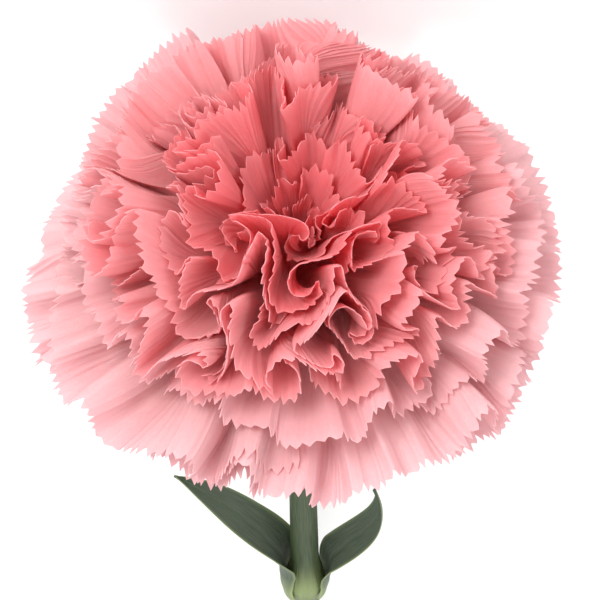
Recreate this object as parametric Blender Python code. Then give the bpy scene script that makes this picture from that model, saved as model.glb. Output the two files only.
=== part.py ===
"""Cut carnation: a double bloom on a short stem with one pair of leaves, lying on its side.

Every piece is made in the flower's own frame, with +Z out of the bloom along the stem's line and
the calyx mouth at Z = 0. An empty then lays the flower down, so that it rests on the lowest
petals and on the cut end of the stem.
"""

import math

import bpy
import numpy as np
from mathutils import Matrix

# ---- driving dimensions, in metres and degrees ----
MM = 0.001
RINGS = 10  # rings of petals, the first one innermost
PETALS_PER_RING = 5
RING_AZIMUTH = (-48, -20, -55, -30, -70, -100, -50, -88, -66, -102)  # first petal of each ring
RING_OPENING = (7, 16, 26, 37, 49, 61, 73, 85, 96, 105)  # direction a petal ends up in, from +Z
RING_LENGTH = (15, 19, 23.5, 27.5, 30.5, 33.5, 36.5, 38.5, 39, 38)  # limb, in mm past the mouth
RING_COLUMNS = (4, 4, 6, 6, 6, 6, 6, 8, 8, 8)
PETAL_HALF_ANGLE = 42  # half of the fan that an open petal fills
BEND_LENGTH, BEND_STEP = 14.0, 0.6  # mm over which a petal turns outwards, less for each ring
CLAW_MOUTH_RADIUS, CLAW_MOUTH_STEP = 1.6, 0.52  # mm, of the narrow petal bases at the mouth
CLAW_LOW_RADIUS, CLAW_LOW_STEP = 3.1, 0.30  # mm, where they stand round the ovary
CLAW_BOTTOM, CLAW_SHOULDER = -26.2, -11.0  # mm
CLAW_HALF_WIDTH = 1.15  # mm
CLAW_THICKNESS, LIMB_THICKNESS = 0.19, 0.30  # mm
TOOTH_DEPTH = 1.1  # mm
RUFFLE, RUFFLE_WAVES = 4.2, 9  # degrees, and waves round the bloom
PRESSED_IN = 0.8  # mm that the lowest petals give where they carry the bloom

CALYX_LENGTH, CALYX_WALL, CALYX_FLOOR = 29.0, 0.5, 1.9  # mm
CALYX_OUTSIDE = ((-29.0, 4.6), (-27.6, 6.65), (-22.0, 7.1), (-12.0, 7.35), (0.0, 7.3))  # mm
CALYX_TOOTH = 4.2  # mm
BRACT_LENGTH, BRACT_GAP = 10.5, 0.45  # mm
OVARY_RADIUS, OVARY_LENGTH = 2.4, 12.5  # mm

STEM_TOP, STEM_CUT, NODE_HEIGHT = -29.35, -150.0, -101.0  # mm along the flower's line
STEM_TOP_RADIUS, STEM_RADIUS, NODE_RADIUS = 2.05, 2.45, 3.6  # mm
LEAF_GAP = 0.3  # mm between a leaf's base and the stem


def smooth(x):
    x = np.clip(x, 0.0, 1.0)
    return x * x * (3 - 2 * x)


def add_material(name, color, roughness):
    material = bpy.data.materials.new(name)
    material.use_nodes = True
    shader = material.node_tree.nodes["Principled BSDF"]
    shader.inputs["Base Color"].default_value = (*color, 1)
    shader.inputs["Roughness"].default_value = roughness
    shader.inputs["Metallic"].default_value = 0
    material.diffuse_color = (*color, 1)
    return material


def sheet_solid(middle, thickness):
    """Points and faces of a closed thin solid either side of a grid of middle points."""
    rows, columns = middle.shape[:2]
    along = np.gradient(middle, axis=0)
    across = np.gradient(middle, axis=1)
    normal = np.cross(across, along)
    normal /= np.linalg.norm(normal, axis=2, keepdims=True)
    half = normal * (np.asarray(thickness)[..., None] / 2)
    points = np.concatenate([(middle + half).reshape(-1, 3), (middle - half).reshape(-1, 3)])
    low = rows * columns
    faces = []
    for i in range(rows - 1):
        for j in range(columns - 1):
            a = i * columns + j
            b, c, d = a + 1, a + columns + 1, a + columns
            faces.append((a, b, c, d))
            faces.append((low + a, low + d, low + c, low + b))
    rim = list(range(columns))
    rim += [i * columns + columns - 1 for i in range(1, rows)]
    rim += [(rows - 1) * columns + j for j in range(columns - 2, -1, -1)]
    rim += [i * columns for i in range(rows - 2, 0, -1)]
    for a, b in zip(rim, rim[1:] + rim[:1]):
        faces.append((b, a, low + a, low + b))
    return points, faces


def lathe_solid(profile, segments, shape=None):
    """A closed solid turned about Z from a profile that starts and ends on the axis."""
    turns = np.linspace(0, 2 * np.pi, segments, endpoint=False)
    points = [(0.0, 0.0, profile[0][1])]
    for radius, height in profile[1:-1]:
        for turn in turns:
            points.append((radius * math.cos(turn), radius * math.sin(turn), height))
    points.append((0.0, 0.0, profile[-1][1]))
    points = np.array(points)
    if shape is not None:
        points = shape(points)
    faces = []
    rings = len(profile) - 2
    last = len(points) - 1
    for j in range(segments):
        k = (j + 1) % segments
        faces.append((0, 1 + k, 1 + j))
        top = 1 + (rings - 1) * segments
        faces.append((last, top + j, top + k))
        for i in range(rings - 1):
            a = 1 + i * segments
            b = a + segments
            faces.append((a + j, a + k, b + k, b + j))
    return points, faces


# ---- petals ----
def open_line(ring):
    """Distance from the axis, height and direction along a petal's limb, every 0.05 mm."""
    along = np.linspace(0, 45, 901)
    turn = np.radians(RING_OPENING[ring]) * smooth(along / (BEND_LENGTH - BEND_STEP * ring))
    late = np.clip((along - 24) / 18, 0, 1)
    turn = turn + np.radians(16) * late**2 * smooth((ring - 4) / 4)
    out = CLAW_MOUTH_RADIUS + CLAW_MOUTH_STEP * ring + np.cumsum(np.sin(turn)) * 0.05
    return along, out, np.cumsum(np.cos(turn)) * 0.05, turn


def room_between(ring):
    """How far the rings just inside and outside leave a petal's limb free, along its length."""
    along, out, up, _ = open_line(ring)
    room = np.full(len(along), 9.0)
    for other in (ring - 1, ring + 1):
        if 0 <= other < RINGS:
            _, out_2, up_2, _ = open_line(other)
            apart = np.hypot(out[:, None] - out_2[None, ::4], up[:, None] - up_2[None, ::4])
            room = np.minimum(room, apart.min(1))
    return along, room


def petal_line(ring, station):
    """Distance from the axis and height of a petal's middle line at stations along it, in mm."""
    along, out, up, turn = open_line(ring)
    low_radius = CLAW_LOW_RADIUS + CLAW_LOW_STEP * ring
    mouth_radius = CLAW_MOUTH_RADIUS + CLAW_MOUTH_STEP * ring
    blend = smooth((station - CLAW_SHOULDER) / -CLAW_SHOULDER)
    claw_radius = low_radius + (mouth_radius - low_radius) * blend
    radius = np.where(station < 0, claw_radius, np.interp(station, along, out))
    height = np.where(station < 0, station, np.interp(station, along, up))
    turn_here = np.where(station < 0, 0.0, np.interp(station, along, turn))
    return radius, height, turn_here


def ruffle(points):
    """Waves that grow towards the petals' edges. Neighbouring layers move together."""
    x, y, z = points[:, 0], points[:, 1], points[:, 2]
    flat = np.hypot(x, y)
    reach = np.hypot(flat, z)
    azimuth = np.arctan2(y, x)
    lean = np.arctan2(flat, z)
    size = np.radians(RUFFLE) * smooth((reach - 10) / 24) * smooth((z + 14) / 5)
    wave = np.sin(RUFFLE_WAVES * azimuth + 5.5 * lean) + 0.6 * np.sin(4 * azimuth - 3.0 * lean)
    lean = lean + size * wave * smooth(lean / 0.6)
    azimuth = azimuth + 0.5 * size * np.sin(6 * lean + 3 * azimuth)
    flat = reach * np.sin(lean)
    return np.stack([flat * np.cos(azimuth), flat * np.sin(azimuth), reach * np.cos(lean)], 1)


def petal(ring, number, rng):
    columns = RING_COLUMNS[ring] + 1
    length = RING_LENGTH[ring] * (1 + 0.03 * rng.uniform(-1, 1))
    azimuth = RING_AZIMUTH[ring] + 360 / PETALS_PER_RING * number + rng.uniform(-2, 2)
    rows = np.array([CLAW_BOTTOM, CLAW_SHOULDER, 0, 4, 8.5])
    rows = np.concatenate([rows, 8.5 + (length - 8.5) * np.array([0.3, 0.65, 1.0])])
    side = np.linspace(-1, 1, columns)
    edge = 1 - 0.10 * np.abs(side) ** 3
    tooth = np.where(np.arange(columns) % 2 == 0, 0.0, -TOOTH_DEPTH / length)
    reach = edge + tooth * (np.abs(side) < 0.99)
    free = smooth(rows / length)[:, None]
    station = rows[:, None] * (1 + (reach[None, :] - 1) * free)
    station[rows <= 0] = rows[rows <= 0, None]
    radius, height, turn = petal_line(ring, station)
    claw_angle = np.minimum(CLAW_HALF_WIDTH / radius, math.radians(27))
    fan = math.radians(PETAL_HALF_ANGLE) * smooth((rows - 1) / 19)[:, None]
    half_angle = np.maximum(claw_angle, fan)
    half_angle[rows <= 8.5] = np.minimum(half_angle[rows <= 8.5], math.radians(31))
    beta = side[None, :] * half_angle
    room = np.interp(station, *room_between(ring))
    shift = 0.24 * room * side[None, :] * smooth((station - 3) / 6)
    radius = radius - shift * np.cos(turn)
    height = height + shift * np.sin(turn)
    angle = math.radians(azimuth) + beta
    middle = np.stack([radius * np.cos(angle), radius * np.sin(angle), height], 2)
    thickness = np.where(station < 4, CLAW_THICKNESS, LIMB_THICKNESS)
    points, faces = sheet_solid(middle, thickness)
    return ruffle(points), faces


# ---- calyx, bracts and pistil ----
def calyx():
    """A cup with five teeth round its mouth, full of the narrow ends of the petals."""
    segments = 40
    turns = np.linspace(0, 2 * np.pi, segments, endpoint=False)
    sawtooth = np.abs((turns / (2 * np.pi) * 5) % 1 * 2 - 1)
    mouth = -CALYX_TOOTH * sawtooth**1.2
    walls = [(radius, height) for height, radius in CALYX_OUTSIDE]
    floor = CALYX_FLOOR - CALYX_LENGTH
    walls += [(radius - CALYX_WALL, height) for radius, height in walls[:1:-1]] + [(6.1, floor)]
    points = [(0.0, 0.0, -CALYX_LENGTH)]
    for radius, height in walls:
        level = np.full(segments, height) if height < 0 else mouth
        for turn, z in zip(turns, level):
            points.append((radius * math.cos(turn), radius * math.sin(turn), z))
    points.append((0.0, 0.0, floor))
    faces = []
    last = len(points) - 1
    final = last - segments
    for j in range(segments):
        k = (j + 1) % segments
        faces.append((0, 1 + k, 1 + j))
        faces.append((last, final + j, final + k))
        for a in range(1, final, segments):
            b = a + segments
            faces.append((a + j, a + k, b + k, b + j))
    return np.array(points), faces


def calyx_outside(height):
    heights, radii = zip(*CALYX_OUTSIDE)
    return np.interp(height, heights, radii)


def bract(number):
    """One of the short scales that hug the foot of the calyx, two crossed pairs."""
    outer_pair = number % 2
    length = BRACT_LENGTH - 1.5 * outer_pair
    rows = np.linspace(0, 1, 6)
    side = np.linspace(-1, 1, 7)
    height = -CALYX_LENGTH + 1.2 + length * rows[:, None]
    width = np.radians(50) * np.sqrt(np.clip(1 - (rows - 0.12) ** 2 / 0.80, 0.02, 1))[:, None]
    height = np.broadcast_to(height, (6, 7))
    radius = calyx_outside(height) + BRACT_GAP + 0.25 + 0.62 * outer_pair
    angle = math.radians(20 + 90 * number) + side[None, :] * width
    middle = np.stack([radius * np.cos(angle), radius * np.sin(angle), height], 2)
    return sheet_solid(middle, np.full(height.shape, 0.4))


def pistil():
    """The egg-shaped ovary with its two thin styles, closed in by the petals."""
    foot = CALYX_FLOOR - CALYX_LENGTH + 0.3
    bend = np.linspace(0, 1, 7)[1:]
    profile = [(0, foot), (1.7, foot)]
    for t in bend[:-1]:
        girth = OVARY_RADIUS * math.sin(math.pi * (0.2 + 0.72 * t)) ** 0.6
        profile.append((girth, foot + OVARY_LENGTH * t))
    profile += [(0.75, foot + OVARY_LENGTH), (0.6, -6.0), (0.5, 2.0), (0.32, 6.0), (0, 6.2)]
    return lathe_solid(profile, 14)


# ---- stem and leaves ----
def stem_centre(height):
    """How far the stem's line strays sideways, in mm."""
    low = (STEM_TOP - height) / (STEM_TOP - STEM_CUT)
    return 1.4 * np.sin(math.pi * low) * low, 0.9 * np.sin(2 * math.pi * low) * low


def stem():
    heights = [STEM_TOP, -31.0, -34.0, -45.0, -60.0, -75.0, -88.0, -95.0, -98.0, -100.5]
    radii = [3.1, 2.9, 2.15, 2.05, 2.1, 2.2, 2.3, 2.35, 2.6, 3.05]
    heights += [-103.0, -105.5, -108.0, -112.0, -120.0, -135.0, STEM_CUT]
    radii += [3.35, 3.1, 2.6, 2.45, 2.45, 2.5, 2.5]
    profile = [(0, STEM_TOP)] + list(zip(radii, heights)) + [(0, STEM_CUT)]

    def lay(points):
        dx, dy = stem_centre(points[:, 2])
        points[:, 0] += dx
        points[:, 1] += dy
        cut = points[:, 2] < STEM_CUT + 0.01
        points[cut, 2] += 0.55 * (points[cut, 1] - dy[cut])
        return points

    points, faces = lathe_solid(profile, 16, lay)
    return points, [tuple(reversed(face)) for face in faces]


def leaf(side, length, width, outward, curl):
    """A narrow leaf from the stem's joint: it clasps the stem, then leans out and curls."""
    rows = np.concatenate([[0.0, 0.06, 0.13], np.linspace(0.22, 1, 8)])
    across = np.linspace(-1, 1, 7)
    s = rows * length
    lean = np.radians(outward) * smooth(rows / 0.45) + np.radians(curl) * smooth((rows - 0.5) / 0.5)
    fine = np.linspace(0, 1, 400)
    fine_lean = np.radians(outward) * smooth(fine / 0.45)
    fine_lean = fine_lean + np.radians(curl) * smooth((fine - 0.5) / 0.5)
    out = np.cumsum(np.sin(fine_lean)) * length / 400
    up = np.cumsum(np.cos(fine_lean)) * length / 400
    foot = NODE_HEIGHT - 5.5
    clasp = np.interp(s, (0, 3.5, 7, 11), (2.95, 3.4, 3.25, 2.6)) + LEAF_GAP + 0.3
    distance = clasp + np.interp(rows, fine, out)
    height = foot + np.interp(rows, fine, up)
    half = width / 2 * np.clip(1 - rows**3.2, 0.03, 1) * (0.72 + 0.28 * smooth(rows / 0.3))
    round_radius = np.interp(rows, (0, 0.2, 0.35, 0.7, 1.0), (1.0, 1.0, 1.8, 3.0, 3.4)) * clasp
    swing = np.minimum(half / round_radius, math.radians(76))
    angle = swing[:, None] * across[None, :]
    x = distance[:, None] - round_radius[:, None] * (1 - np.cos(angle)) * np.cos(lean)[:, None]
    y = round_radius[:, None] * np.sin(angle)
    z = height[:, None] + round_radius[:, None] * (1 - np.cos(angle)) * np.sin(lean)[:, None]
    dx, dy = stem_centre(np.clip(z, STEM_CUT, STEM_TOP))
    middle = np.stack([side * x + dx, side * y + dy, z], 2)
    return sheet_solid(middle, np.full(x.shape, 0.5))


# ---- put the flower together ----
def lying_down(lean):
    """The turn that lays the flower on its side, its bloom raised a little by the lean."""
    s, c = math.sin(lean), math.cos(lean)
    return np.array([(-1, 0, 0), (0, -s, -c), (0, -c, s)]).T


for old in list(bpy.data.objects):
    bpy.data.objects.remove(old, do_unlink=True)

heart = add_material("petal_heart", (0.72, 0.16, 0.17), 0.6)
middle_pink = add_material("petal_middle", (0.80, 0.30, 0.32), 0.6)
outer_pink = add_material("petal_outer", (0.85, 0.50, 0.48), 0.6)
calyx_green = add_material("calyx_green", (0.16, 0.24, 0.10), 0.5)
bract_green = add_material("bract_green", (0.22, 0.30, 0.14), 0.5)
stem_green = add_material("stem_green", (0.10, 0.17, 0.07), 0.5)
leaf_green = add_material("leaf_green", (0.10, 0.16, 0.09), 0.5)
pistil_white = add_material("pistil_white", (0.75, 0.78, 0.62), 0.5)

rng = np.random.default_rng(11)
pieces = []
for ring in range(RINGS):
    paint = heart if ring < 4 else middle_pink if ring < 8 else outer_pink
    for number in range(PETALS_PER_RING):
        name = f"ring_{ring + 1:02d}_petal_{number + 1}"
        pieces.append((name, *petal(ring, number, rng), paint))
bloom_pieces = len(pieces)
pieces.append(("calyx", *calyx(), calyx_green))
for number in range(4):
    pieces.append((f"calyx_bract_{number + 1}", *bract(number), bract_green))
pieces.append(("pistil", *pistil(), pistil_white))
pieces.append(("stem", *stem(), stem_green))
stem_index = len(pieces) - 1
pieces.append(("left_leaf", *leaf(-1, 43, 10.0, 27, 14), leaf_green))
pieces.append(("right_leaf", *leaf(1, 36, 8.5, 33, -42), leaf_green))

bloom_points = np.concatenate([points for _, points, _, _ in pieces[:bloom_pieces]])
stem_points = pieces[stem_index][1]
small, large = math.radians(8), math.radians(22)
for _ in range(40):
    lean = (small + large) / 2
    up = lying_down(lean)[2]
    bloom_low = (bloom_points @ up).min() + PRESSED_IN
    stem_low = (stem_points @ up).min()
    if stem_low > bloom_low:
        small = lean
    else:
        large = lean
turn = lying_down(lean)
floor = stem_low


def pressed(points):
    """The lowest petals spread a little where the bloom's weight bears on them."""
    world = points @ turn.T
    height = world[:, 2] - floor
    soft = 0.45
    low = height < 6 * soft
    world[low, 2] = floor + soft * np.log1p(np.exp(height[low] / soft))
    return world @ turn


carrier = bpy.data.objects.new("carnation_laid_down", None)
bpy.context.scene.collection.objects.link(carrier)

for index, (name, points, faces, paint) in enumerate(pieces):
    if index < bloom_pieces:
        points = pressed(points)
    mesh = bpy.data.meshes.new(name)
    mesh.from_pydata([tuple(p) for p in points * MM], [], faces)
    mesh.materials.append(paint)
    mesh.validate()
    obj = bpy.data.objects.new(name, mesh)
    bpy.context.scene.collection.objects.link(obj)
    obj.parent = carrier
    pieces[index] = (name, points, faces, paint)

everything = np.concatenate([points for _, points, _, _ in pieces]) @ turn.T
middle = (everything.max(0) + everything.min(0)) / 2
lowest = everything[:, 2].min()
basis = np.eye(4)
basis[:3, :3] = turn
basis[:3, 3] = np.array([-middle[0], -middle[1], -lowest]) * MM
carrier.matrix_world = Matrix(basis.tolist())
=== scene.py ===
"""A cut carnation: a full pink bloom on a short green stem, lying on a pale table."""

import math

import bpy
import numpy as np
from mathutils import Matrix, Vector


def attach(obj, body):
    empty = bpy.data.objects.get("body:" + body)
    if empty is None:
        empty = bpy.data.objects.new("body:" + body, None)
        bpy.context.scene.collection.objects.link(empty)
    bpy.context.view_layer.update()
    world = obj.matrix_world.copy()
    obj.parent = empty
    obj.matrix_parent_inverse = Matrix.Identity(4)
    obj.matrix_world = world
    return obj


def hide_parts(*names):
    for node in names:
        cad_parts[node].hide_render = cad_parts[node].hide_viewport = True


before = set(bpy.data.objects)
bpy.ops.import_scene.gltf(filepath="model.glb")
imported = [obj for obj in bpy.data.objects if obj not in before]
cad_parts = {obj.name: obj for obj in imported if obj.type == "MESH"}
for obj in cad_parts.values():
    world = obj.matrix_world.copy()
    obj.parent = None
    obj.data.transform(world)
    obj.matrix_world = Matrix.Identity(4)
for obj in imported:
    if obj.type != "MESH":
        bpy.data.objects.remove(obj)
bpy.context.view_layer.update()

# ---- how the flower lies ----
# A cut flower put down on a table rests on its lowest petals and on the cut end of its stem.
# Everything is shaped in the flower's own frame, in millimetres: +Z out of the bloom along the
# stem's line, the mouth of the calyx at Z = 0. These turn that frame into the row's.
MM = 0.001
STEM_LEAN = math.radians(14.156)
MOUTH = np.array((0.768, -59.012, 38.772))
LAID_DOWN = np.array(
    [
        (-1, 0, 0),
        (0, -math.sin(STEM_LEAN), -math.cos(STEM_LEAN)),
        (0, -math.cos(STEM_LEAN), math.sin(STEM_LEAN)),
    ]
).T


def lay_down(points):
    """Points of the flower's frame, in mm, as places in the row's frame, in metres."""
    return (points.reshape(-1, 3) @ LAID_DOWN.T + MOUTH) * MM


# ---- camera, table and light ----
# The camera looks down into the bloom, 30 degrees off the stem's line, and turned so that the stem
# runs down its view. A big soft lamp low in front does most of the work.
LOOK_ANGLE = math.radians(30)
HALF_VIEW = math.radians(4.15)
CAMERA_AWAY = 0.60
AIM_BELOW_MOUTH = 0.0058
SENSOR = 36
up_tilt = LOOK_ANGLE + STEM_LEAN
towards_camera = Vector((0, -math.cos(up_tilt), math.sin(up_tilt)))
view_up = Vector((0, -math.sin(up_tilt), -math.cos(up_tilt)))
aim = Vector(MOUTH * MM) - view_up * AIM_BELOW_MOUTH
camera_data = bpy.data.cameras.new("camera")
camera_data.sensor_width = SENSOR
camera_data.lens = SENSOR / (2 * math.tan(HALF_VIEW))
camera_data.clip_start = 0.01
camera = bpy.data.objects.new("camera", camera_data)
bpy.context.scene.collection.objects.link(camera)
view_right = view_up.cross(towards_camera)
camera_turn = Matrix((view_right, view_up, towards_camera)).transposed().to_4x4()
camera.matrix_world = Matrix.Translation(aim + towards_camera * CAMERA_AWAY) @ camera_turn
bpy.context.scene.camera = camera
bpy.context.scene.view_settings.view_transform = "Standard"


def lamp(name, place, size, power, colour=(1, 1, 1)):
    """A square soft lamp at a place, in metres, facing the middle of the flower."""
    data = bpy.data.lights.new(name, "AREA")
    data.size = size
    data.energy = power
    data.color = colour
    lit = bpy.data.objects.new(name, data)
    bpy.context.scene.collection.objects.link(lit)
    place = Vector(place)
    centre = Vector(MOUTH * MM)
    turned = (place - centre).to_track_quat("Z", "Y").to_matrix().to_4x4()
    lit.matrix_world = Matrix.Translation(place) @ turned


lamp("key_lamp", (0.34, -0.75, 0.38), 0.4, 5.4)
lamp("fill_lamp", (-0.55, -0.45, 0.55), 0.6, 1.5)
lamp("top_lamp", (0.1, 0.25, 0.8), 0.7, 3.0)

# white light from all round, which fills the shadows between the petals
world = bpy.data.worlds.new("studio")
world.use_nodes = True
surroundings = world.node_tree.nodes["Background"]
surroundings.inputs["Color"].default_value = (1, 1, 1, 1)
surroundings.inputs["Strength"].default_value = 0.86
bpy.context.scene.world = world


class Wire:
    """A value in a material's nodes that Python's operators work on, one Math node for each."""

    def __init__(self, tree, socket):
        self.tree = tree
        self.socket = socket

    def maths(self, operation, *others):
        """This value and the others through one Math node."""
        node = self.tree.nodes.new("ShaderNodeMath")
        node.operation = operation
        for slot, value in zip(node.inputs, (self, *others)):
            if isinstance(value, Wire):
                self.tree.links.new(value.socket, slot)
            else:
                slot.default_value = value
        return Wire(self.tree, node.outputs[0])

    def __add__(self, other):
        return self.maths("ADD", other)

    def __mul__(self, other):
        return self.maths("MULTIPLY", other)

    def __sub__(self, other):
        return self.maths("SUBTRACT", other)

    def __rsub__(self, other):
        return (self * -1.0).maths("ADD", other)

    def __pow__(self, other):
        return self.maths("POWER", other)

    def clamp(self):
        """The value kept between 0 and 1."""
        node = self.tree.nodes.new("ShaderNodeClamp")
        self.tree.links.new(self.socket, node.inputs[0])
        return Wire(self.tree, node.outputs[0])

    __radd__ = __add__
    __rmul__ = __mul__


class Finish:
    """A material being made: its nodes, and the surface shader that they feed."""

    def __init__(self, name):
        self.material = bpy.data.materials.new(name)
        self.material.use_nodes = True
        self.tree = self.material.node_tree
        self.shader = self.tree.nodes["Principled BSDF"]

    def node(self, kind, settings=None, inputs=None, output=0):
        """A node of that type, with its settings made first, then its inputs' values or links."""
        made = self.tree.nodes.new(kind)
        for name, value in (settings or {}).items():
            setattr(made, name, value)
        for name, value in (inputs or {}).items():
            self.feed(made.inputs[name], value)
        return Wire(self.tree, made.outputs[output])

    def feed(self, slot, value):
        """Gives a socket a value: a link from a Wire, a colour, or a number."""
        if isinstance(value, Wire):
            self.tree.links.new(value.socket, slot)
        elif isinstance(value, tuple) and len(value) == 3 and slot.type == "RGBA":
            slot.default_value = (*value, 1)
        else:
            slot.default_value = value

    def mix(self, share, first, second):
        """first where share is 0, second where it is 1."""
        made = self.tree.nodes.new("ShaderNodeMix")
        made.data_type = "RGBA"
        self.feed(made.inputs[0], share)
        self.feed(made.inputs[6], first)
        self.feed(made.inputs[7], second)
        return Wire(self.tree, made.outputs[2])

    def mapped(self, name):
        """A number painted on the mesh, between 0 and 1."""
        return self.node("ShaderNodeAttribute", {"attribute_name": name}, output=2)


# the table is a plain pale sheet; it only carries the flower and isn't part of it
TABLE_HALF = 3
table = Finish("pale_table")
table.shader.inputs["Base Color"].default_value = (0.93, 0.93, 0.93, 1)
table.shader.inputs["Roughness"].default_value = 0.9
mesh = bpy.data.meshes.new("table_top")
corners = [(x * TABLE_HALF, y * TABLE_HALF, 0) for x, y in ((-1, -1), (1, -1), (1, 1), (-1, 1))]
mesh.from_pydata(corners, [], [(0, 1, 2, 3)])
mesh.materials.append(table.material)
table_top = bpy.data.objects.new("table_top", mesh)
bpy.context.scene.collection.objects.link(table_top)

# ---- stem ----
# A stiff round stem, faintly ridged along its length and dusted with pale wax. It swells into a
# joint where the leaves sit, and ends in a slanting cut.
STEM_TOP, STEM_CUT, JOINT = -29.35, -150.0, -101.0


def stem_centre(height):
    """How far the stem's middle has bowed off its line at a height: to one side, and up."""
    low = (STEM_TOP - height) / (STEM_TOP - STEM_CUT)
    return 1.4 * np.sin(math.pi * low) * low, 0.9 * np.sin(2 * math.pi * low) * low


def add_mesh(name, points, faces, material, painted):
    """A smooth mesh object of one finish, with numbers painted on its points for that finish."""
    mesh = bpy.data.meshes.new(name)
    mesh.from_pydata(points.tolist(), [], [tuple(face) for face in faces])
    mesh.validate()
    mesh.shade_smooth()
    mesh.set_sharp_from_angle(angle=math.radians(65))
    for key, values in painted.items():
        layer = mesh.attributes.new(key, "FLOAT", "POINT")
        layer.data.foreach_set("value", np.ascontiguousarray(values, dtype=np.float32).ravel())
    mesh.materials.append(material)
    made = bpy.data.objects.new(name, mesh)
    bpy.context.scene.collection.objects.link(made)
    return made


def tube(radii, heights, segments, around=None):
    """Points and faces of a closed round rod whose ends are fans; around bends each ring's radius."""
    turns = np.linspace(0, 2 * np.pi, segments, endpoint=False)
    points = [(0.0, 0.0, heights[0])]
    for radius, height in zip(radii, heights):
        rim = radius * (around(turns, height) if around else np.ones(segments))
        points += list(zip(rim * np.cos(turns), rim * np.sin(turns), np.full(segments, height)))
    points.append((0.0, 0.0, heights[-1]))
    faces = []
    final = len(points) - 1 - segments
    for j in range(segments):
        k = (j + 1) % segments
        faces.append((0, 1 + j, 1 + k))
        faces.append((len(points) - 1, final + k, final + j))
        for i in range(1, final, segments):
            faces.append((i + j, i + segments + j, i + segments + k, i + k))
    return np.array(points), faces


def waxy_green(name, dark, light, wax):
    """Plant green with fibres lengthways, dusted with pale wax, and yellower where it is young."""
    green = Finish(name)
    lengthways = green.mapped("lengthways")
    round_it = green.mapped("round")
    young = green.mapped("young")
    place = green.node("ShaderNodeCombineXYZ", inputs={"X": round_it * 38.0, "Y": lengthways * 5.0})
    grain = {"Vector": place, "Scale": 1.0, "Detail": 3.0}
    fibres = green.node("ShaderNodeTexNoise", {"noise_dimensions": "2D"}, grain)
    mottle = green.node("ShaderNodeTexNoise", inputs={"Scale": 160.0, "Detail": 3.0})
    colour = green.mix(((fibres - 0.5) * 2.4 + 0.5).clamp(), dark, light)
    colour = green.mix(((mottle - 0.45) * 1.6).clamp() * 0.6, colour, wax)
    colour = green.mix(young, colour, (0.36, 0.44, 0.17))
    green.feed(green.shader.inputs["Base Color"], colour)
    green.feed(green.shader.inputs["Roughness"], 0.42 + mottle * 0.25)
    bump = green.node("ShaderNodeBump", inputs={"Height": fibres, "Strength": 0.5, "Distance": 0.0003})
    green.feed(green.shader.inputs["Normal"], bump)
    return green.material


stem_skin = waxy_green("stem_skin", (0.026, 0.044, 0.017), (0.062, 0.09, 0.035), (0.10, 0.125, 0.08))
cut_face = Finish("stem_cut_face")
pith = cut_face.node("ShaderNodeTexNoise", inputs={"Scale": 900.0, "Detail": 4.0})
pith_colour = cut_face.mix(pith, (0.36, 0.42, 0.20), (0.62, 0.66, 0.42))
cut_face.feed(cut_face.shader.inputs["Base Color"], pith_colour)
cut_face.shader.inputs["Roughness"].default_value = 0.5

below_joint = np.linspace(STEM_CUT, -109, 40)
at_joint = np.linspace(-108.5, -95, 34)
above_joint = np.linspace(-94, STEM_TOP, 60)
heights = np.concatenate([below_joint, at_joint, above_joint])
knots = (STEM_CUT, -135, -120, -112, -108, -105.5, -103, -100.5, -98, -95, -88, -75, -60, -45, -34, -31)
girths = (2.5, 2.5, 2.45, 2.45, 2.6, 3.1, 3.35, 3.05, 2.6, 2.35, 2.3, 2.2, 2.1, 2.05, 2.15, 2.9)
radii = np.interp(heights, (*knots, STEM_TOP), (*girths, 3.1))


def ribbed(turns, height):
    """The stem's faint ridges, as a share of its radius."""
    return 1 + 0.012 * np.sin(9 * turns + 0.02 * height) + 0.008 * np.sin(5 * turns + 1.3)


points, faces = tube(radii, heights, 48, ribbed)
around = np.arctan2(points[:, 1], points[:, 0])
dx, dy = stem_centre(points[:, 2])
heights_before = points[:, 2].copy()
points[:, 0] += dx
points[:, 1] += dy
at_cut = heights_before < STEM_CUT + 0.01
points[at_cut, 2] += 0.55 * (points[at_cut, 1] - dy[at_cut])
near_joint = np.exp(-(((heights_before - JOINT + 2.0) / 5.0) ** 2)) * 0.55
painted = {"lengthways": heights_before / 30 + 5, "round": np.abs(around) / math.pi, "young": near_joint}
stem = add_mesh("stem_skin", lay_down(points), faces, stem_skin, painted)
stem.data.materials.append(cut_face.material)
for polygon in stem.data.polygons:
    if len(polygon.vertices) == 3 and 0 in polygon.vertices:
        polygon.material_index = 1
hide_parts("stem")
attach(stem, "root")

# ---- leaves ----
# Two narrow leaves opposite each other. Their feet clasp the joint, pale where they are youngest,
# and their blades lean out, channelled along the middle, with a fine pale rim.
leaf_skin = waxy_green("leaf_skin", (0.032, 0.052, 0.028), (0.065, 0.095, 0.05), (0.12, 0.145, 0.11))


def smooth(x):
    """An even rise from 0 to 1 as x goes from 0 to 1, flat outside."""
    x = np.clip(x, 0.0, 1.0)
    return x * x * (3 - 2 * x)


def shell(middle, normal, thickness):
    """Points and faces of a closed thin skin either side of a grid."""
    rows, columns = middle.shape[:2]
    half = normal * (thickness / 2)[..., None]
    points = np.concatenate([(middle + half).reshape(-1, 3), (middle - half).reshape(-1, 3)])
    low = rows * columns
    grid = np.arange(low).reshape(rows, columns)
    a, b, c, d = grid[:-1, :-1], grid[:-1, 1:], grid[1:, 1:], grid[1:, :-1]
    top = np.stack([a, b, c, d], 2).reshape(-1, 4)
    bottom = np.stack([a, d, c, b], 2).reshape(-1, 4) + low
    rim = np.concatenate([grid[0, :], grid[1:, -1], grid[-1, -2::-1], grid[-2:0:-1, 0]])
    after = np.roll(rim, -1)
    edge = np.stack([after, rim, rim + low, after + low], 1)
    return points, np.concatenate([top, bottom, edge])


def facing(middle):
    """The direction each point of a grid faces."""
    normal = np.cross(np.gradient(middle, axis=1), np.gradient(middle, axis=0))
    return normal / np.maximum(np.linalg.norm(normal, axis=2, keepdims=True), 1e-9)


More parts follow.
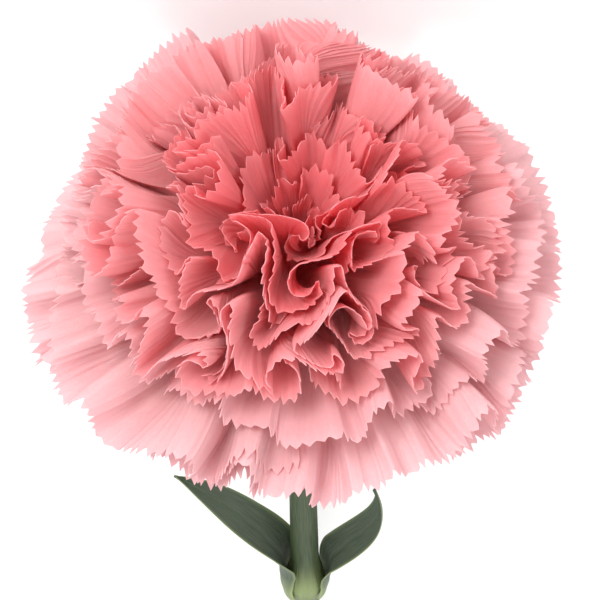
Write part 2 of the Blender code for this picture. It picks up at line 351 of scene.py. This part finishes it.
def both_faces(painted):
    """Numbers painted on a grid, repeated for the two faces of its shell."""
    return {key: np.tile(values.ravel(), 2) for key, values in painted.items()}


def leaf(name, side, length, width, outward, curl, twist):
    """A leaf on one side of the joint: it clasps the stem, leans out by outward, then curls and twists."""
    rows = np.linspace(0, 1, 70)
    across = np.linspace(-1, 1, 25)
    fine = np.linspace(0, 1, 400)
    lean = np.radians(outward) * smooth(fine / 0.45) + np.radians(curl) * smooth((fine - 0.5) / 0.5)
    out = np.interp(rows, fine, np.cumsum(np.sin(lean)) * length / 400)
    up = np.interp(rows, fine, np.cumsum(np.cos(lean)) * length / 400)
    lean = np.interp(rows, fine, lean)
    clasp = np.interp(rows * length, (0, 3.5, 7, 11), (2.95, 3.4, 3.25, 2.6)) + 0.45
    distance = clasp + out
    half = width / 2 * np.clip(1 - rows**3.0, 0.02, 1) * (0.72 + 0.28 * smooth(rows / 0.3))
    bend = np.interp(rows, (0, 0.2, 0.35, 0.7, 1.0), (1.0, 1.0, 1.8, 3.0, 3.4)) * clasp
    swing = np.minimum(half / bend, math.radians(80))[:, None] * across[None, :]
    groove = 0.25 * np.exp(-((across / 0.12) ** 2))[None, :] * smooth(rows / 0.3)[:, None]
    sag = bend[:, None] * (1 - np.cos(swing)) + groove
    wavy = 0.35 * smooth(rows / 0.5)[:, None] * across[None, :] ** 2
    wavy = wavy * np.sin(9 * rows + side)[:, None]
    x = distance[:, None] - (sag + wavy) * np.cos(lean)[:, None]
    y = bend[:, None] * np.sin(swing)
    z = JOINT - 5.5 + up[:, None] + (sag + wavy) * np.sin(lean)[:, None]
    turn = np.radians(twist) * smooth(rows)[:, None]
    off = x - distance[:, None]
    x = distance[:, None] + off * np.cos(turn) - y * np.sin(turn)
    y = y * np.cos(turn) + off * np.sin(turn)
    dx, dy = stem_centre(np.clip(z, STEM_CUT, STEM_TOP))
    middle = np.stack([side * x + dx, side * y + dy, z], 2)
    thin = 0.5 * (1 - 0.6 * np.abs(across) ** 3)[None, :] * (1 - 0.4 * rows)[:, None]
    points, faces = shell(middle, facing(middle), thin)
    pale_rim = smooth((np.abs(across) - 0.86) / 0.14)[None, :] * 0.4
    pale_foot = 0.55 * (1 - smooth(rows / 0.22))[:, None]
    painted = {
        "lengthways": np.broadcast_to(rows[:, None] * 1.4, middle.shape[:2]),
        "round": np.broadcast_to(np.abs(across)[None, :] * 0.55 + 0.1, middle.shape[:2]),
        "young": np.clip(pale_rim + pale_foot, 0, 0.8),
    }
    made = add_mesh(name + "_blade", lay_down(points), faces, leaf_skin, both_faces(painted))
    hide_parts(name)
    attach(made, "root")


leaf("left_leaf", -1, 43, 10.0, 27, 14, -12)
leaf("right_leaf", 1, 36, 8.0, 33, -46, 25)

# ---- calyx and its scales ----
# A tight green cup with five pointed teeth, ribbed lengthways, that holds the petals' narrow
# ends. Four short overlapping scales hug its foot.
calyx_skin = waxy_green("calyx_skin", (0.10, 0.17, 0.05), (0.20, 0.29, 0.10), (0.26, 0.33, 0.18))
CALYX_LENGTH, WALL, FLOOR = 29.0, 0.5, 1.9
TOOTH_DEPTH = 4.2
OUTSIDE = ((-29.0, 4.6), (-27.6, 6.65), (-22.0, 7.1), (-12.0, 7.35), (0.0, 7.3))


def calyx_outside(height):
    """The cup's outer radius at a height."""
    return np.interp(height, [h for h, _ in OUTSIDE], [r for _, r in OUTSIDE])


# the cup's wall: rings up its outside to the five teeth, then down its inside to the floor
segments = 160
turns = np.linspace(0, 2 * np.pi, segments, endpoint=False)
saw = np.abs((turns / (2 * np.pi) * 5) % 1 * 2 - 1)
mouth_line = -TOOTH_DEPTH * saw**1.3
levels = np.concatenate([[0.0, 0.02, 0.05], np.linspace(0.1, 1, 26)])
outer, inner = [], []
for level in levels:
    height = -CALYX_LENGTH + (mouth_line + CALYX_LENGTH) * level
    radius = calyx_outside(height) + 0.05 * np.cos(35 * turns) * smooth(level * 3) * (1 - level * 0.5)
    outer.append(np.stack([radius * np.cos(turns), radius * np.sin(turns), height], 1))
    tight = radius - WALL * (1 - 0.5 * level)
    inside = np.maximum(height, -CALYX_LENGTH + FLOOR)
    tight = np.where(height < -26.5, np.minimum(tight, 5.9), tight)
    inner.append(np.stack([tight * np.cos(turns), tight * np.sin(turns), inside], 1))
keep = [i for i, level in enumerate(levels) if level > 0.09]
rings = outer + [inner[i] for i in keep[::-1]]
points = np.concatenate([[(0, 0, -CALYX_LENGTH)], *rings, [(0, 0, -CALYX_LENGTH + FLOOR)]])
faces = []
final = len(points) - 1 - segments
for j in range(segments):
    k = (j + 1) % segments
    faces.append((0, 1 + k, 1 + j))
    faces.append((len(points) - 1, final + j, final + k))
    for i in range(1, final, segments):
        faces.append((i + j, i + k, i + segments + k, i + segments + j))
around = np.arctan2(points[:, 1], points[:, 0])
painted = {
    "lengthways": points[:, 2] / 20 + 3,
    "round": np.abs(around) / math.pi * 1.6,
    "young": 0.35 * smooth((points[:, 2] + 8) / 8) + 0.25 * smooth((-24 - points[:, 2]) / 4),
}
calyx = add_mesh("calyx_cup", lay_down(points), faces, calyx_skin, painted)
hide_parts("calyx")
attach(calyx, "root")

for number in range(4):
    outer_pair = number % 2
    length = 10.5 - 1.5 * outer_pair
    rows = np.linspace(0, 1, 24)
    across = np.linspace(-1, 1, 25)
    point = np.exp(-((across / 0.16) ** 2))[None, :] * 0.16
    level = rows[:, None] * (1 + point * smooth((rows - 0.5) / 0.5)[:, None])
    height = -CALYX_LENGTH + 1.2 + length * level
    width = np.radians(50) * np.sqrt(np.clip(1 - (rows - 0.12) ** 2 / 0.80, 0.02, 1))[:, None]
    radius = calyx_outside(height) + 0.62 + 0.62 * outer_pair + 0.5 * smooth(level - 0.4)
    angle = math.radians(20 + 90 * number) + across[None, :] * width
    middle = np.stack([radius * np.cos(angle), radius * np.sin(angle), height], 2)
    points, faces = shell(middle, facing(middle), np.full(height.shape, 0.35))
    painted = {
        "lengthways": height / 20 + 3,
        "round": np.broadcast_to(np.abs(across)[None, :] * 0.6, height.shape),
        "young": np.broadcast_to(0.55 * smooth((rows - 0.55) / 0.45)[:, None], height.shape),
    }
    placed = lay_down(points)
    scale = add_mesh(f"calyx_scale_{number + 1}", placed, faces, calyx_skin, both_faces(painted))
    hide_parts(f"calyx_bract_{number + 1}")
    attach(scale, "root")

# ---- pistil ----
# The egg-shaped ovary with its styles, shut in by the petals. It keeps its solid, in a pale finish.
pistil_skin = Finish("pistil_skin")
speckle = pistil_skin.node("ShaderNodeTexNoise", inputs={"Scale": 500.0, "Detail": 2.0})
pistil_colour = pistil_skin.mix(speckle, (0.50, 0.58, 0.30), (0.72, 0.75, 0.55))
pistil_skin.feed(pistil_skin.shader.inputs["Base Color"], pistil_colour)
pistil_skin.shader.inputs["Roughness"].default_value = 0.45
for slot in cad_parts["pistil"].material_slots:
    slot.material = pistil_skin.material

# ---- petals ----
# Fifty petals in ten rings of five, each a fan with a saw-toothed edge on a narrow claw that goes
# down into the calyx. They are soft and thin, and crowd one another into folds, so that
# the whole bloom is shaped at once: nested layers, then folded together without ever crossing.
RINGS = 10
RING_AZIMUTH = (-48, -20, -55, -30, -70, -100, -50, -88, -66, -102)
RING_OPENING = (7, 16, 26, 37, 49, 61, 73, 85, 96, 105)
RING_LENGTH = (13.5, 17.5, 22, 26.5, 30, 32, 32.5, 34, 36.5, 37)
HALF_FAN = 43
TOOTH_WIDTH = 1.55
rng = np.random.default_rng(5)


def mouth_radius(ring):
    """How far from the axis a ring's petals pass through the calyx's mouth."""
    return 1.6 + 0.52 * ring


def open_line(ring):
    """A petal's middle line in its own plane: distance along it, out from the axis, up, direction."""
    along = np.linspace(0, 48, 961)
    turn = np.radians(RING_OPENING[ring]) * smooth(along / (14.0 - 0.6 * ring))
    late = np.clip((along - 24) / 18, 0, 1)
    turn = turn + np.radians(16) * late**2 * smooth((ring - 4) / 4)
    out = mouth_radius(ring) + np.cumsum(np.sin(turn)) * 0.05
    return along, out, np.cumsum(np.cos(turn)) * 0.05, turn


def room_between(ring):
    """Along a petal's line, how far off the nearest line of the rings beside it is."""
    along, out, up, _ = open_line(ring)
    room = np.full(len(along), 9.0)
    for other in (ring - 1, ring + 1):
        if 0 <= other < RINGS:
            _, out_2, up_2, _ = open_line(other)
            apart = np.hypot(out[:, None] - out_2[None, ::4], up[:, None] - up_2[None, ::4])
            room = np.minimum(room, apart.min(1))
    return along, room


ROOM = [room_between(ring) for ring in range(RINGS)]

# the folding: swirls over the dome of directions, carried along in small steps
swirl_rng = np.random.default_rng(21)
SWIRLS = []
for wavelength, strength, count in ((0.66, 0.5, 6), (0.42, 0.75, 12), (0.27, 0.7, 16)):
    for _ in range(count):
        way = swirl_rng.uniform(0, 2 * np.pi)
        k = 2 * np.pi / (wavelength * swirl_rng.uniform(0.85, 1.15))
        phase = swirl_rng.uniform(0, 2 * np.pi)
        SWIRLS.append((k * np.cos(way), k * np.sin(way), phase, strength / k / np.sqrt(count)))


def swirl_speed(x, y):
    """How fast the swirls carry each place, and less and less towards the outermost petals."""
    u = np.zeros_like(x)
    v = np.zeros_like(x)
    for kx, ky, phase, size in SWIRLS:
        c = size * np.cos(kx * x + ky * y + phase)
        u += c * ky
        v -= c * kx
    calm = 1 - 0.74 * smooth((np.hypot(x, y) - 0.6) / 0.8)
    return u * calm, v * calm


def fold(points, steps=12, time=0.33):
    """The points carried round by the swirls, each at its own distance from the bloom's middle."""
    x, y, z = points[:, 0], points[:, 1], points[:, 2]
    flat = np.hypot(x, y)
    reach = np.hypot(flat, z)
    lean = np.arctan2(flat, z)
    with np.errstate(invalid="ignore", divide="ignore"):
        px = np.where(flat > 0, lean * x / flat, 0)
        py = np.where(flat > 0, lean * y / flat, 0)
    amount = smooth((reach - 7) / 24) * smooth((z + 16) / 6)
    dt = time / steps
    for _ in range(steps):
        u, v = swirl_speed(px, py)
        u, v = swirl_speed(px + u * dt / 2 * amount, py + v * dt / 2 * amount)
        px = px + u * dt * amount
        py = py + v * dt * amount
    lean = np.hypot(px, py)
    s = np.where(lean > 1e-9, np.sin(lean) / np.maximum(lean, 1e-9), 1.0)
    return np.stack([reach * s * px, reach * s * py, reach * np.cos(lean)], 1)


def teeth_profile(count, rng):
    """Places across the edge, and how far the edge falls short there: points and notches in turn."""
    cuts = np.cumsum(rng.uniform(0.6, 1.4, count))
    cuts = np.concatenate([[0], cuts]) / cuts[-1]
    places, depth = [], []
    for i in range(count):
        a, b = cuts[i], cuts[i + 1]
        tip = a + (b - a) * rng.uniform(0.35, 0.65)
        notch = rng.uniform(0.35, 1.0)
        places += [a, a + (tip - a) * 0.35, tip, tip + (b - tip) * 0.65]
        point = rng.uniform(0, 0.3)
        flank = notch * 0.68 + point * 0.32
        depth += [notch, flank, point, flank]
    places.append(1.0)
    depth.append(0.8)
    return np.array(places) * 2 - 1, np.array(depth)


def layered(ring, azimuth, station, side, rows, wave):
    """A petal's middle surface, in its own layer of the bloom, then folded with the rest."""
    along, out, up, turn = open_line(ring)
    low = 3.1 + 0.30 * ring
    claw = low + (mouth_radius(ring) - low) * smooth((station + 11) / 11)
    radius = np.where(station < 0, claw, np.interp(station, along, out))
    height = np.where(station < 0, station, np.interp(station, along, up))
    turned = np.where(station < 0, 0, np.interp(station, along, turn))
    claw_half = np.minimum(1.15 / radius, math.radians(27))
    half = np.maximum(claw_half, math.radians(HALF_FAN) * smooth((rows + 1) / 17))
    room = np.interp(station, *ROOM[ring])
    shift = 0.24 * room * side * smooth((station - 3) / 6)
    waves = np.sin(np.pi * wave[0] * side + wave[1])
    shift = shift + 0.18 * room * smooth((station - 8) / 20) * waves
    radius = radius - shift * np.cos(turned)
    height = height + shift * np.sin(turned)
    angle = math.radians(azimuth) + side * half
    middle = np.stack([radius * np.cos(angle), radius * np.sin(angle), height], -1)
    return fold(middle.reshape(-1, 3)).reshape(middle.shape)


def petal_shape(ring, number, rng):
    """A petal's grid: its middle surface, which way it faces, and what its finish needs painted on it."""
    length = RING_LENGTH[ring] * (1 + rng.uniform(-0.09, 0.05))
    azimuth = RING_AZIMUTH[ring] + 72 * number + rng.uniform(-3, 3)
    length *= 1 + 0.04 * math.sin(math.radians(azimuth)) ** 2
    wave = (rng.uniform(2.2, 3.8), rng.uniform(0, 6))
    lobes = (rng.uniform(3, 5), rng.uniform(0, 6))

    def outline(side):
        return 1 - 0.14 * np.abs(side) ** 2.6 + 0.025 * np.sin(side * lobes[0] + lobes[1])

    # the edge's true length once folded says how many teeth it has and where they stand
    fine = np.linspace(-1, 1, 700)
    near_edge = length * outline(fine) - 1.5
    line = layered(ring, azimuth, near_edge, fine, np.full(700, length), wave)
    run = np.concatenate([[0], np.cumsum(np.linalg.norm(np.diff(line, axis=0), axis=1))])
    teeth = max(6, int(run[-1] / TOOTH_WIDTH))
    places, depth = teeth_profile(teeth, rng)
    place = (places + 1) / 2 * run[-1]
    side = np.interp(place, run, fine)
    deepest = np.interp(ring, (0, 9), (1.3, 2.1))
    claw = np.array([-26.2, -19, -11, -5, 0])
    body = np.linspace(0, 1, 26)[1:]
    rim = np.linspace(0, 1, 5)[1:]
    notch_line = length * outline(side) - deepest
    even = length * 0.94 - deepest
    station = [np.full(len(side), s) for s in claw]
    station += [b * (even + (notch_line - even) * smooth(b)) for b in body]
    station += [notch_line + deepest * (1 - depth) * r for r in rim]
    station = np.array(station)
    rows = np.concatenate([claw, body * even, even + rim * deepest])[:, None]
    across = np.broadcast_to(side[None, :], station.shape)
    middle = layered(ring, azimuth, station, across, rows, wave)
    normal = facing(middle)
    pleat = (0.5 - depth)[None, :] * 0.34 * smooth((station - length * 0.4) / (length * 0.55))
    middle = middle + normal * pleat[..., None]
    reach = np.clip(station / length, 0, 1)
    to_edge = (station - notch_line[None, :]) / deepest
    return middle, normal, reach, place, to_edge


def petal_skin(name, glow):
    """Coral to pale skin with fine veins and a paler edge; glow is the colour of light through it."""
    skin = Finish(name)
    reach = skin.mapped("reach")
    tone = skin.mapped("tone")
    edge = skin.mapped("edge")
    across = skin.mapped("across")
    place = skin.node("ShaderNodeCombineXYZ", inputs={"X": across * 900.0, "Y": reach * 9.0})
    grain = {"Vector": place, "Scale": 0.55, "Detail": 3.0}
    veins = skin.node("ShaderNodeTexNoise", {"noise_dimensions": "2D"}, grain)
    blotch = skin.node("ShaderNodeTexNoise", inputs={"Scale": 90.0, "Detail": 2.0})
    deep = skin.mix(reach**1.3, (0.97, 0.17, 0.19), (0.97, 0.31, 0.34))
    pale = skin.mix(reach, (0.95, 0.68, 0.60), (0.93, 0.66, 0.69))
    colour = skin.mix((tone + (blotch - 0.5) * 0.5).clamp(), deep, pale)
    vein_share = ((veins - 0.38) * 1.1).clamp() * (reach * 0.55)
    colour = skin.mix(vein_share, colour, (0.95, 0.76, 0.77))
    colour = skin.mix(edge * 0.35, colour, (0.93, 0.70, 0.70))
    skin.feed(skin.shader.inputs["Base Color"], colour)
    skin.feed(skin.shader.inputs["Roughness"], 0.62 - veins * 0.2)
    skin.shader.inputs["Sheen Weight"].default_value = 0.1
    ridges = skin.node("ShaderNodeBump", inputs={"Height": veins, "Strength": 0.45, "Distance": 0.0004})
    skin.feed(skin.shader.inputs["Normal"], ridges)
    through = skin.node("ShaderNodeBsdfTranslucent", inputs={"Color": glow})
    surface = Wire(skin.tree, skin.shader.outputs[0])
    both = skin.node("ShaderNodeMixShader", inputs={0: 0.52, 1: surface, 2: through})
    skin.feed(skin.tree.nodes["Material Output"].inputs["Surface"], both)
    return skin.material


heart_skin = petal_skin("petal_heart_skin", (0.97, 0.28, 0.31))
middle_skin = petal_skin("petal_middle_skin", (0.95, 0.46, 0.48))
outer_skin = petal_skin("petal_outer_skin", (0.93, 0.66, 0.68))
NEAR_TABLE, PRESS = 0.003, 0.0004

for ring in range(RINGS):
    for number in range(5):
        middle, normal, reach, place, to_edge = petal_shape(ring, number, rng)
        thickness = 0.22 - 0.10 * reach
        points, faces = shell(middle, normal, thickness)
        tone = np.full(reach.shape, np.interp(ring, (0, 3, 7, 9), (0.0, 0.15, 0.75, 1.0)))
        edge = smooth((to_edge + 0.6) / 1.6)
        across = np.broadcast_to(place[None, :] * 0.01, reach.shape)
        painted = {"reach": reach, "tone": tone, "edge": edge, "across": across}
        name = f"ring_{ring + 1:02d}_petal_{number + 1}"
        # a petal that reaches the table is pressed flat against it, not into it
        world_points = lay_down(points)
        low = world_points[:, 2] < NEAR_TABLE
        heights = world_points[low, 2]
        world_points[low, 2] = PRESS * np.log1p(np.exp(heights / PRESS))
        skin = heart_skin if ring < 4 else middle_skin if ring < 7 else outer_skin
        made = add_mesh(name + "_fan", world_points, faces, skin, both_faces(painted))
        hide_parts(name)
        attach(made, "root")
